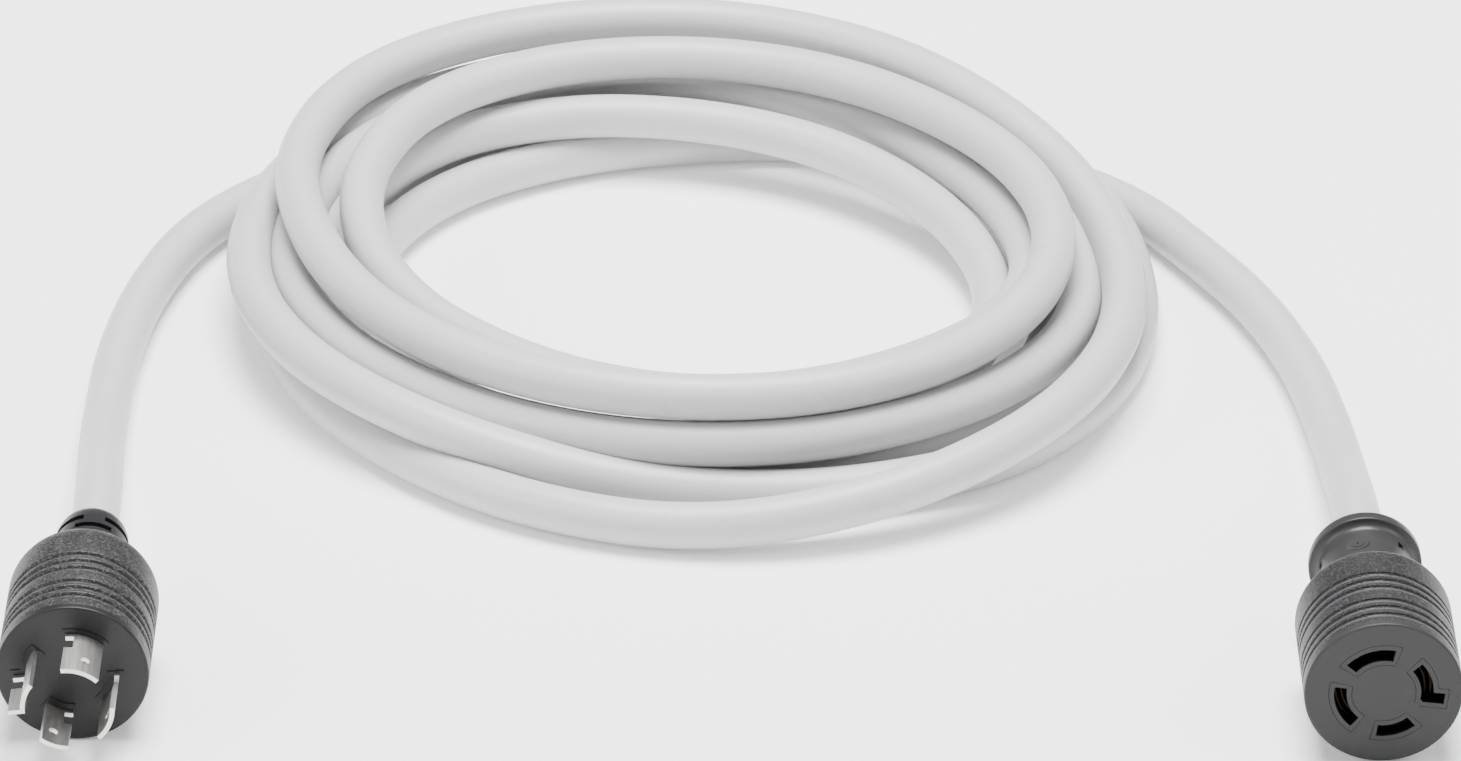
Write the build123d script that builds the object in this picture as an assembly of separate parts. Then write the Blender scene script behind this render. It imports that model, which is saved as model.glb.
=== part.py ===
"""Shore power cord: a coiled four-core cable with a locking plug and a locking connector.

Millimetres, +Z up. The floor is z = 0 and the origin is the middle of the whole layout.
Each head is built in its own frame: the face's middle is the origin, +Z points out of
the face, +Y is up on the floor, and the head reaches back along -Z to its cable mouth.
Depths are counted back from the face, and angles anticlockwise as seen facing the face.
"""
from build123d import *
from math import degrees, pi, radians, tan
import os

os.makedirs("parts", exist_ok=True)

# Cable: four 10 AWG cores under a round jacket
CABLE_R = 8.75
JACKET_IN_R = 6.35
CORE_R = 2.5
CORE_RING_R = 3.8
STRAND_R = 1.45
FILLER_R = 0.9
FILLER_RING_R = 5.2
SLIP = 0.05
CUT_PAST = 1.0

# Coil and heads on the floor
COIL_X, COIL_Y = -12.0, 74.0
COIL_OUT_R, COIL_IN_R = 187.0, 116.0
COIL_HEIGHT = 52.5
COIL_TOP_ROUND, COIL_FOOT_ROUND = 22.0, 8.0
JOIN_GAP = 0.3
PLUG_FACE = (-231.0, -240.0, 27.0)
CONNECTOR_FACE = (230.0, -255.0, 28.0)

# Both heads
FACE_THICK = 3.0
FACE_EDGE = 0.8
GROOVE_R = 1.1
GROOVE_RAISED = 0.2
INNER_R = 21.0
INNER_BACK = 52.0

# Plug
PLUG_R = 27.0
PLUG_BODY_LENGTH = 69.0
PLUG_SHOULDER = 12.0
PLUG_LENGTH = 98.0
PLUG_GROOVES = (9.7, 14.6, 19.5, 28.6, 33.5, 38.4)
RELIEF_FRONT_R, RELIEF_BACK_R = 14.2, 12.4
RELIEF_EDGE = 1.6
RELIEF_STEM_R, RELIEF_ANCHOR_R = 12.0, 16.0
RELIEF_ANCHOR = (57.0, 60.0)
RELIEF_SLOT_ROWS = (76.0, 82.5, 89.0)
RELIEF_SLOTS_PER_ROW = 3
RELIEF_SLOT_ANGLE = 74.0
RELIEF_SLOT_WIDTH = 2.4
RELIEF_SLOT_FLOOR_R = 10.2

# Blades: first angle, last angle, hooked outward at the last angle or not
BLADES = {
    "hot_x_blade": (46.0, 96.0, False),
    "hot_y_blade": (231.0, 269.0, False),
    "neutral_blade": (-48.0, 2.0, False),
    "ground_blade": (142.0, 186.0, True),
}
BLADE_IN_R, BLADE_OUT_R = 14.9, 16.5
BLADE_THICK = BLADE_OUT_R - BLADE_IN_R
BLADE_RING_R = (BLADE_IN_R + BLADE_OUT_R) / 2
BLADE_REACH = 24.5
BLADE_ROOT = 14.0
BLADE_HOOK = 4.3
BLADE_HOLE_R = 1.75
BLADE_HOLE_AT = 16.5
NOTCH_FROM, NOTCH_TO = 2.2, 9.5
NOTCH_DEPTH = 3.2
NOTCH_CLEAR = 2.0
PAD_HEIGHT = 0.4
PAD_MARGIN = 0.9
PAD_ROOT = 1.5

# Connector
CONNECTOR_R = 28.0
CONNECTOR_BODY_LENGTH = 57.0
CONNECTOR_SHOULDER = 7.5
CONNECTOR_LENGTH = 94.0
CONNECTOR_GROOVES = (7.5, 12.5, 17.5, 26.3, 31.0, 35.7)
CARRIER_R = 23.5
CARRIER_BACK = 31.0
NECK_R, NECK_WAIST_R, NECK_FLANGE_R = 18.0, 17.2, 20.5
NECK_STEM_R = 14.0
NECK_FLANGE_THICK = 6.0
NECK_EDGE = 1.8
NECK_HOLES = (46.0, 166.0, 286.0)
NECK_HOLE_DEPTH = 82.0
NECK_HOLE_SIZE = (3.0, 1.6, 3.6)

# Slots: first angle, last angle, hooked outward at the first angle or not
SLOTS = {
    "hot_x_contact": (78.0, 140.0, False),
    "hot_y_contact": (263.0, 311.0, False),
    "neutral_contact": (172.0, 230.0, False),
    "ground_contact": (-12.0, 42.0, True),
}
SLOT_IN_R, SLOT_OUT_R = 13.1, 17.5
SLOT_HOOK_R = 20.9
SLOT_HOOK_WIDTH = 4.2
SLOT_HOOK_INSET = 0.6
SLOT_DEPTH = 27.5
SLEEVE_MARGIN = 1.9
SLEEVE_GAP = 0.15
LEAF_THICK = 0.6
LEAF_GAP = 1.5
LEAF_FRONT, LEAF_BACK = 5.0, 27.3
LEAF_WEB = 2.0
SHANK_OVERLAP = 1.0
LEAF_END_PLAY = 3.0
SHANK_WIDTH = 4.0
CONTACT_ROOT = 29.0

# Wiring behind the blades and contacts
CRIMP_R = 2.4
CRIMP_FRONT = 1.5
CRIMP_LENGTH = 8.0
WIRE_BEND_R = 5.0
WIRE_STRAIGHT = 3.5
BUNDLE_LEAD = 3.0
WIRE_GAP = 0.2
WIRES = ("black_wire", "red_wire", "white_wire", "green_wire")

# Leads, from inside the coil's outline to the mouth of each head
PLUG_LEAD = [
    (-152.0, 190.0, 8.8),
    (-184.0, 170.0, 8.8),
    (-212.0, 134.0, 8.8),
    (-228.0, 84.0, 8.8),
    (-235.0, 32.0, 8.8),
    (-236.0, -18.0, 10.0),
    (-234.5, -62.0, 16.0),
    (-232.0, -98.0, 24.0),
    (-231.0, -120.0, 27.0),
    (-231.0, -142.0, 27.0),
]
CONNECTOR_LEAD = [
    (118.0, 172.0, 8.8),
    (150.0, 150.0, 8.8),
    (181.0, 115.0, 8.8),
    (205.0, 75.0, 8.8),
    (220.0, 26.0, 8.8),
    (227.0, -25.0, 9.5),
    (229.5, -75.0, 15.0),
    (230.0, -112.0, 23.5),
    (230.0, -137.0, 28.0),
    (230.0, -161.0, 28.0),
]
RUN_SHARE = 0.45


def rod(radius, front, back):
    """A solid cylinder on the head's axis between two depths."""
    return Pos(0, 0, -back) * Cylinder(radius, back - front, align=(Align.CENTER, Align.CENTER, Align.MIN))


def tube(out_r, in_r, front, back):
    """A tube on the head's axis between two depths."""
    return rod(out_r, front, back) - rod(in_r, front - CUT_PAST, back + CUT_PAST)


def sector(in_r, out_r, first, last, front, back):
    """Part of a tube between two angles and two depths."""
    wedge = Cylinder(out_r, back - front, arc_size=last - first, align=(Align.NONE, Align.NONE, Align.MIN))
    return Pos(0, 0, -back) * Rot(0, 0, first) * wedge - rod(in_r, front - CUT_PAST, back + CUT_PAST)


def turned(profile):
    """A solid of revolution from (radius, depth) corners."""
    corners = [(radius, 0, -depth) for radius, depth in profile]
    return revolve(make_face(Polyline(*corners, close=True)), Axis.Z)


def rims(shape, radius, depth):
    """The round edges of a turned shape that have a given radius and depth."""
    return [
        edge
        for edge in shape.edges().filter_by(GeomType.CIRCLE)
        if abs(edge.radius - radius) < 0.01 and abs(edge.center().Z + depth) < 0.01
    ]


def arc_angle(length, radius):
    """The angle in degrees that an arc of a given length spans."""
    return degrees(length / radius)


def grooved(body, radius, depths):
    """Cut the round finger grooves into a body."""
    for depth in depths:
        body -= Pos(0, 0, -depth) * Torus(radius + GROOVE_RAISED, GROOVE_R)
    return body


def crimp(angle, root):
    """The barrel behind a blade or contact that is crimped round the bare strands."""
    outside = rod(CRIMP_R, root - CRIMP_FRONT, root + CRIMP_LENGTH)
    inside = rod(STRAND_R + SLIP, root, root + CRIMP_LENGTH + CUT_PAST)
    return Rot(0, 0, angle) * Pos(BLADE_RING_R, 0, 0) * (outside - inside)


def crimp_space(angle, root):
    """The round pocket that a crimp barrel sits in, up to the start of its wire."""
    pocket = rod(CRIMP_R + SLIP, root - CRIMP_FRONT - SLIP, root + CRIMP_LENGTH + 2 * WIRE_GAP)
    return Rot(0, 0, angle) * Pos(BLADE_RING_R, 0, 0) * pocket


def blade(first, last, hooked):
    """One locking blade, bent to the circle of the blades, with its crimp barrel."""
    plate = sector(BLADE_IN_R, BLADE_OUT_R, first, last, -BLADE_REACH, BLADE_ROOT)
    if hooked:
        hook = Box(
            BLADE_THICK + BLADE_HOOK,
            BLADE_THICK,
            BLADE_REACH + BLADE_ROOT,
            align=(Align.MIN, Align.MAX, Align.MIN),
        )
        plate += Rot(0, 0, last) * Pos(BLADE_IN_R, 0, -BLADE_ROOT) * hook
    notch = arc_angle(NOTCH_DEPTH, BLADE_OUT_R)
    notch_in_r, notch_out_r = BLADE_IN_R - CUT_PAST, BLADE_OUT_R + BLADE_HOOK + NOTCH_CLEAR
    plate -= sector(notch_in_r, notch_out_r, last - notch, last + notch, -NOTCH_TO, -NOTCH_FROM)
    middle = (first + last) / 2
    hole = Pos(BLADE_RING_R, 0, BLADE_HOLE_AT) * Rot(0, 90, 0) * Cylinder(BLADE_HOLE_R, 4 * BLADE_THICK)
    return plate - Rot(0, 0, middle - notch / 3) * hole + crimp(middle, BLADE_ROOT)


def outline(first, last, hook_angle, margin, front, back):
    """The raised outline round a blade or slot, with its branch for the hooked one."""
    side = arc_angle(margin, SLOT_OUT_R)
    shape = sector(SLOT_IN_R - margin, SLOT_OUT_R + margin, first - side, last + side, front, back)
    if hook_angle is not None:
        reach = SLOT_HOOK_R - SLOT_IN_R + margin
        branch = Box(reach, SLOT_HOOK_WIDTH + 2 * margin, back - front, align=(Align.MIN, Align.CENTER, Align.MIN))
        shape += Rot(0, 0, hook_angle) * Pos(SLOT_IN_R, 0, -back) * branch
    return shape


def hook_middle(first, hooked):
    """The angle of the middle of a slot's branch, or None where it has no branch."""
    return first + arc_angle(SLOT_HOOK_WIDTH / 2, SLOT_HOOK_R) if hooked else None


def wire_path(angle, root, mouth):
    """The way of one core from the cable's mouth forward to its crimp barrel."""
    barrel_end = root + CRIMP_LENGTH + WIRE_GAP
    corners = [
        (CORE_RING_R, 0, -mouth),
        (CORE_RING_R, 0, -(INNER_BACK - BUNDLE_LEAD)),
        (BLADE_RING_R, 0, -(barrel_end + WIRE_STRAIGHT)),
        (BLADE_RING_R, 0, -barrel_end),
    ]
    return Rot(0, 0, angle) * FilletPolyline(*corners, radius=WIRE_BEND_R)


def wire(angle, root, mouth, radius, hollow):
    """A round solid along one core's way, with a hollow middle where one is given."""
    path = wire_path(angle, root, mouth)
    start = Plane(origin=path @ 0, z_dir=path % 0)
    ring = start * Circle(radius)
    if hollow:
        ring -= start * Circle(hollow)
    return sweep(ring, path=path)


def copper(angle, root, mouth):
    """The bare strands of one core, with the end that sits in its crimp barrel."""
    bare = rod(STRAND_R, root + WIRE_GAP, root + CRIMP_LENGTH + WIRE_GAP)
    end = Rot(0, 0, angle) * Pos(BLADE_RING_R, 0, 0) * bare
    return wire(angle, root, mouth, STRAND_R, 0) + end


def wiring(head, angles, root, mouth):
    """One head's cores, strands, filler cords and the end of the cable's jacket."""
    nodes = {}
    for name, angle in zip(WIRES, angles):
        nodes[f"{head}_{name}"] = wire(angle, root, mouth, CORE_R, STRAND_R + SLIP)
    nodes[f"{head}_copper_strands"] = Compound([copper(angle, root, mouth) for angle in angles])
    around = sorted(angle % 360 for angle in angles)
    gaps = [(a + b) / 2 for a, b in zip(around, around[1:] + [around[0] + 360])]
    cords = [Rot(0, 0, gap) * Pos(FILLER_RING_R, 0, 0) * rod(FILLER_R, INNER_BACK, mouth) for gap in gaps]
    nodes[f"{head}_filler_cords"] = Compound(cords + [rod(FILLER_R, INNER_BACK, mouth)])
    nodes[f"{head}_jacket_end"] = tube(CABLE_R, JACKET_IN_R, INNER_BACK, mouth)
    return nodes


def inner_mould(front, metal, angles, root, mouth):
    """The first moulding inside a head, which holds the crimps and wires in place."""
    core = rod(INNER_R, front, INNER_BACK)
    for angle in angles:
        core -= wire(angle, root, mouth, CORE_R + SLIP, 0)
        core -= crimp_space(angle, root)
    for piece in metal:
        core -= piece
    return core


def strain_relief():
    """The plug's tapered, slotted sleeve, with the collar that anchors it in the body."""
    front, back = RELIEF_ANCHOR
    shape = turned([
        (CABLE_R + SLIP, front),
        (RELIEF_ANCHOR_R, front),
        (RELIEF_ANCHOR_R, back),
        (RELIEF_STEM_R, back),
        (RELIEF_STEM_R, PLUG_BODY_LENGTH),
        (RELIEF_FRONT_R, PLUG_BODY_LENGTH),
        (RELIEF_BACK_R, PLUG_LENGTH),
        (CABLE_R + SLIP, PLUG_LENGTH),
    ])
    shape = fillet(rims(shape, RELIEF_BACK_R, PLUG_LENGTH), RELIEF_EDGE)
    turn = 360 / RELIEF_SLOTS_PER_ROW
    for row, depth in enumerate(RELIEF_SLOT_ROWS):
        for slot in range(RELIEF_SLOTS_PER_ROW):
            first = slot * turn + row * turn / 2
            half = RELIEF_SLOT_WIDTH / 2
            last = first + RELIEF_SLOT_ANGLE
            slot_out_r = RELIEF_FRONT_R + CUT_PAST
            shape -= sector(RELIEF_SLOT_FLOOR_R, slot_out_r, first, last, depth - half, depth + half)
    return shape


def plug_body():
    """The plug's grained outer moulding, open at the front for the inner moulding."""
    front, back = RELIEF_ANCHOR
    body = rod(PLUG_R, FACE_THICK, PLUG_BODY_LENGTH)
    body = fillet(rims(body, PLUG_R, PLUG_BODY_LENGTH), PLUG_SHOULDER)
    body = grooved(body, PLUG_R, PLUG_GROOVES)
    body -= rod(INNER_R + SLIP, FACE_THICK - CUT_PAST, INNER_BACK)
    body -= rod(CABLE_R + SLIP, INNER_BACK - CUT_PAST, front + CUT_PAST)
    body -= rod(RELIEF_ANCHOR_R + SLIP, front - SLIP, back + SLIP)
    return body - rod(RELIEF_STEM_R + SLIP, back, PLUG_BODY_LENGTH + CUT_PAST)


def plug_face():
    """The plug's smooth face, with a raised pad round each blade."""
    face = fillet(rims(rod(PLUG_R, 0, FACE_THICK), PLUG_R, 0), FACE_EDGE)
    for first, last, hooked in BLADES.values():
        branch = last - arc_angle(BLADE_THICK / 2, SLOT_HOOK_R) if hooked else None
        face += outline(first, last, branch, PAD_MARGIN, -PAD_HEIGHT, PAD_ROOT)
    return face


def plug_nodes():
    """Every piece of the plug, in the plug's own frame."""
    nodes = {name: blade(*size) for name, size in BLADES.items()}
    metal = list(nodes.values())
    angles = [(first + last) / 2 for first, last, _ in BLADES.values()]
    face = plug_face()
    for piece in metal:
        face -= piece
    nodes["plug_face"] = face
    nodes["plug_inner_mould"] = inner_mould(FACE_THICK, metal, angles, BLADE_ROOT, PLUG_LENGTH)
    nodes["plug_body"] = plug_body()
    nodes["plug_strain_relief"] = strain_relief()
    return nodes | wiring("plug", angles, BLADE_ROOT, PLUG_LENGTH)


def contact(first, last):
    """One contact: two bent spring leaves joined at the back, with a crimp barrel."""
    start, end = first + LEAF_END_PLAY, last - LEAF_END_PLAY
    in_r, out_r = BLADE_RING_R - LEAF_GAP / 2, BLADE_RING_R + LEAF_GAP / 2
    inner = sector(in_r - LEAF_THICK, in_r, start, end, LEAF_FRONT, LEAF_BACK)
    outer = sector(out_r, out_r + LEAF_THICK, start, end, LEAF_FRONT, LEAF_BACK)
    web = sector(in_r - LEAF_THICK, out_r + LEAF_THICK, start, end, LEAF_BACK - LEAF_WEB, LEAF_BACK)
    middle = (first + last) / 2
    half = arc_angle(SHANK_WIDTH / 2, BLADE_RING_R)
    shank = sector(BLADE_IN_R, BLADE_OUT_R, middle - half, middle + half, LEAF_BACK - SHANK_OVERLAP, CONTACT_ROOT)
    return inner + outer + web + shank + crimp(middle, CONTACT_ROOT)


def slot_cut(first, last, hooked):
    """The way in for one blade, with the branch for the hooked one."""
    cut = sector(SLOT_IN_R, SLOT_OUT_R, first, last, -CUT_PAST, SLOT_DEPTH + CUT_PAST)
    if hooked:
        branch = Box(
            SLOT_HOOK_R - SLOT_IN_R,
            SLOT_HOOK_WIDTH,
            SLOT_DEPTH + 2 * CUT_PAST,
            align=(Align.MIN, Align.CENTER, Align.MIN),
        )
        at = Pos(SLOT_IN_R + SLOT_HOOK_INSET, 0, -(SLOT_DEPTH + CUT_PAST))
        cut += Rot(0, 0, hook_middle(first, hooked)) * at * branch
    return cut


def slot_sleeve(first, last, hooked):
    """The insulating sleeve round one contact, which opens as a slot in the face."""
    margin = SLEEVE_MARGIN - SLEEVE_GAP
    sleeve = outline(first, last, hook_middle(first, hooked), margin, 0, SLOT_DEPTH)
    return sleeve - slot_cut(first, last, hooked)


def windowed(shape, back):
    """Cut the four windows that the sleeves stand in, down to a depth."""
    for first, last, hooked in SLOTS.values():
        branch = hook_middle(first, hooked)
        shape -= outline(first, last, branch, SLEEVE_MARGIN, -CUT_PAST, back + CUT_PAST)
    return shape


def carrier_back(contacts, angles):
    """The plate that closes the carrier and holds the contacts by their shanks."""
    shape = rod(CARRIER_R, SLOT_DEPTH, CARRIER_BACK)
    for piece, angle in zip(contacts, angles):
        shape -= crimp_space(angle, CONTACT_ROOT)
        shape -= piece
    return shape


def connector_face():
    """The connector's smooth face, with a window round each slotted sleeve."""
    face = fillet(rims(rod(CONNECTOR_R, 0, FACE_THICK), CONNECTOR_R, 0), FACE_EDGE)
    return windowed(face, FACE_THICK)


def connector_body():
    """The connector's grained outer moulding."""
    body = rod(CONNECTOR_R, FACE_THICK, CONNECTOR_BODY_LENGTH)
    body = fillet(rims(body, CONNECTOR_R, CONNECTOR_BODY_LENGTH), CONNECTOR_SHOULDER)
    body = grooved(body, CONNECTOR_R, CONNECTOR_GROOVES)
    body -= rod(CARRIER_R + SLIP, FACE_THICK - CUT_PAST, CARRIER_BACK)
    body -= rod(INNER_R + SLIP, CARRIER_BACK - CUT_PAST, INNER_BACK)
    return body - rod(NECK_STEM_R + SLIP, INNER_BACK - CUT_PAST, CONNECTOR_BODY_LENGTH + CUT_PAST)


def connector_neck():
    """The connector's smooth neck with its round flange and three pin holes."""
    flange = CONNECTOR_LENGTH - NECK_FLANGE_THICK
    rise = NECK_FLANGE_R - NECK_WAIST_R
    shape = turned([
        (CABLE_R + SLIP, INNER_BACK),
        (NECK_STEM_R, INNER_BACK),
        (NECK_STEM_R, CONNECTOR_BODY_LENGTH),
        (NECK_R, CONNECTOR_BODY_LENGTH),
        (NECK_WAIST_R, flange - rise),
        (NECK_FLANGE_R, flange),
        (NECK_FLANGE_R, CONNECTOR_LENGTH),
        (CABLE_R + SLIP, CONNECTOR_LENGTH),
    ])
    shape = fillet(rims(shape, NECK_FLANGE_R, CONNECTOR_LENGTH), NECK_EDGE)
    for angle in NECK_HOLES:
        shape -= Rot(0, 0, angle) * Pos(NECK_WAIST_R, 0, -NECK_HOLE_DEPTH) * Box(*NECK_HOLE_SIZE)
    return shape


def connector_nodes():
    """Every piece of the connector, in the connector's own frame."""
    nodes = {name: contact(first, last) for name, (first, last, _) in SLOTS.items()}
    metal = list(nodes.values())
    angles = [(first + last) / 2 for first, last, _ in SLOTS.values()]
    nodes["connector_face"] = connector_face()
    nodes["connector_contact_carrier"] = windowed(rod(CARRIER_R, FACE_THICK, SLOT_DEPTH), SLOT_DEPTH)
    nodes["connector_carrier_back"] = carrier_back(metal, angles)
    for name, size in SLOTS.items():
        nodes[name.replace("contact", "sleeve")] = slot_sleeve(*size)
    nodes["connector_inner_mould"] = inner_mould(CARRIER_BACK, metal, angles, CONTACT_ROOT, CONNECTOR_LENGTH)
    nodes["connector_body"] = connector_body()
    nodes["connector_neck"] = connector_neck()
    return nodes | wiring("connector", angles, CONTACT_ROOT, CONNECTOR_LENGTH)


def coil():
    """The outer shape of the coiled cable, as one ring with rounded edges."""
    ring = turned([(COIL_IN_R, 0), (COIL_OUT_R, 0), (COIL_OUT_R, -COIL_HEIGHT), (COIL_IN_R, -COIL_HEIGHT)])
    top = rims(ring, COIL_OUT_R, -COIL_HEIGHT) + rims(ring, COIL_IN_R, -COIL_HEIGHT)
    ring = fillet(top, COIL_TOP_ROUND)
    foot = rims(ring, COIL_OUT_R, 0) + rims(ring, COIL_IN_R, 0)
    return Pos(COIL_X, COIL_Y, 0) * fillet(foot, COIL_FOOT_ROUND)


def bend_radii(points):
    """Each corner's radius: the largest that its two runs allow."""
    runs = [Vector(*b) - Vector(*a) for a, b in zip(points, points[1:])]
    radii = []
    for before, after in zip(runs, runs[1:]):
        half_turn = radians(before.get_angle(after) / 2)
        radii.append(RUN_SHARE * min(before.length, after.length) / tan(half_turn))
    return radii


def lead(name, points):
    """One lead's tube along its way on the floor, with its radii and volume printed."""
    radii = bend_radii(points)
    path = FilletPolyline(*points, radius=radii)
    shape = sweep(Plane(origin=path @ 0, z_dir=path % 0) * Circle(CABLE_R), path=path)
    share = shape.volume / (pi * CABLE_R**2 * path.length)
    print(name, "radii", [round(r) for r in radii], "length", round(path.length), "volume share", round(share, 4))
    return shape


def cable_nodes():
    """The coil and the two leads, which end just outside the coil's outline."""
    ring = coil()
    clear = Pos(COIL_X, COIL_Y, 0) * Cylinder(
        COIL_OUT_R + JOIN_GAP, 3 * COIL_HEIGHT, align=(Align.CENTER, Align.CENTER, Align.CENTER)
    )
    return {
        "cord_coil": ring,
        "plug_lead": lead("plug_lead", PLUG_LEAD) - clear,
        "connector_lead": lead("connector_lead", CONNECTOR_LEAD) - clear,
    }


def placed(nodes, face):
    """Lay a head on the floor, with its face towards -Y."""
    return {name: Location(face, (90, 0, 0)) * shape for name, shape in nodes.items()}


all_nodes = cable_nodes() | placed(plug_nodes(), PLUG_FACE) | placed(connector_nodes(), CONNECTOR_FACE)
for node, shape in all_nodes.items():
    export_step(shape, f"parts/{node}.step")
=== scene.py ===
"""Shore power cord: the looks of the coiled cable, the locking plug and the locking connector."""
import logging
import math
from dataclasses import dataclass
from enum import Enum
from typing import Any, Iterable, Union

import bmesh
import bpy
from mathutils import Matrix, Vector

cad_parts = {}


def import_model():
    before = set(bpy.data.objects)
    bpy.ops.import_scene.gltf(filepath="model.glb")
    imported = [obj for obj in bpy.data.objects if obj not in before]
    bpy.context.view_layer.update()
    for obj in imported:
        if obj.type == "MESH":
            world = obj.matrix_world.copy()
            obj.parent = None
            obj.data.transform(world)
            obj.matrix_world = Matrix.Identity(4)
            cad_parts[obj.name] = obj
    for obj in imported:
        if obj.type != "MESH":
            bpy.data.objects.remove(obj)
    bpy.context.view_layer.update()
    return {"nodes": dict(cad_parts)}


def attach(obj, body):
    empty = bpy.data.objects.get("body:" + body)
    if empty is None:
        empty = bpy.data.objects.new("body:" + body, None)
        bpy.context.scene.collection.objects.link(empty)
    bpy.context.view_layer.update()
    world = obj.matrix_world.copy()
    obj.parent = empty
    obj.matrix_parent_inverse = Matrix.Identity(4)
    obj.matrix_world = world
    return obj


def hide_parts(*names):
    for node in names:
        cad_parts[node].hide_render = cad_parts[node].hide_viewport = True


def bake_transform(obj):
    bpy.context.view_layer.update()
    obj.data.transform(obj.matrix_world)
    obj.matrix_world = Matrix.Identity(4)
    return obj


log = logging.getLogger("shore_power_cord")

MM = 0.001
FULL_CIRCLE = 360.0
SHARP_ANGLE = 40.0
CONDUCTORS = ("hot_x", "hot_y", "neutral", "ground")
HEADS = ("plug", "connector")

Point = tuple[float, float, float]
Colour = tuple[float, float, float]
Station = tuple[float, float]
Finishes = dict[str, bpy.types.Material]
Nodes = dict[str, bpy.types.Object]

NO_TURN: Point = (0.0, 0.0, 0.0)
WORLD_MIDDLE: Point = (0.0, 0.0, 0.0)


class Rides(Enum):
    """The bodies that pieces ride on."""

    COIL = "coil"
    PLUG_LEAD = "plug_lead_body"
    PLUG = "plug_head"
    CONNECTOR_LEAD = "connector_lead_body"
    CONNECTOR = "connector_head"


def feed(tree: bpy.types.NodeTree, place: bpy.types.NodeSocket, value: Any) -> None:
    """Links a field or socket to an input, or sets a plain value on it.

    Args:
        tree: The node tree.
        place: The input.
        value: A field, an output socket, or a plain value.
    """
    if isinstance(value, Field):
        value = value.socket
    if isinstance(value, bpy.types.NodeSocket):
        tree.links.new(value, place)
    else:
        place.default_value = value


def add_node(
    tree: bpy.types.NodeTree, kind: str, settings: dict[str, Any], inputs: dict[Any, Any]
) -> bpy.types.Node:
    """Adds one node to a tree.

    Args:
        tree: The node tree.
        kind: The node's type.
        settings: Its settings, which are set before its inputs.
        inputs: Plain values, fields or sockets for its inputs, by name or number.

    Returns:
        The new node.
    """
    node = tree.nodes.new(kind)
    for name, value in settings.items():
        setattr(node, name, value)
    for name, value in inputs.items():
        feed(tree, node.inputs[name], value)
    return node


class Field:
    """A number that varies over a surface: a node's output, with arithmetic on it."""

    def __init__(self, tree: bpy.types.NodeTree, socket: bpy.types.NodeSocket) -> None:
        """Wraps one output socket of a node tree."""
        self.tree = tree
        self.socket = socket

    def through(self, operation: str, *values: "Amount") -> "Field":
        """Adds one Math node.

        Args:
            operation: The Math node's operation.
            values: What goes into its inputs, in order.

        Returns:
            The node's result.
        """
        settings = {"operation": operation}
        node = add_node(self.tree, "ShaderNodeMath", settings, dict(enumerate(values)))
        return Field(self.tree, node.outputs[0])

    def __add__(self, other: "Amount") -> "Field":
        """self + other."""
        return self.through("ADD", self, other)

    __radd__ = __add__

    def __sub__(self, other: "Amount") -> "Field":
        """self - other."""
        return self.through("SUBTRACT", self, other)

    def __rsub__(self, other: "Amount") -> "Field":
        """other - self."""
        return self.through("SUBTRACT", other, self)

    def __mul__(self, other: "Amount") -> "Field":
        """self * other."""
        return self.through("MULTIPLY", self, other)

    __rmul__ = __mul__

    def __abs__(self) -> "Field":
        """The size of self without its sign."""
        return self.through("ABSOLUTE", self)

    def ramp(self, low: float, high: float) -> "Field":
        """Runs smoothly from 0 to 1, and stays there outside.

        Args:
            low: Where it starts to rise from 0.
            high: Where it reaches 1.

        Returns:
            The ramp.
        """
        inputs = {"Value": self, "From Min": low, "From Max": high}
        node = add_node(self.tree, "ShaderNodeMapRange", {"interpolation_type": "SMOOTHSTEP"}, inputs)
        return Field(self.tree, node.outputs[0])


Amount = Union[float, Field]


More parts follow.
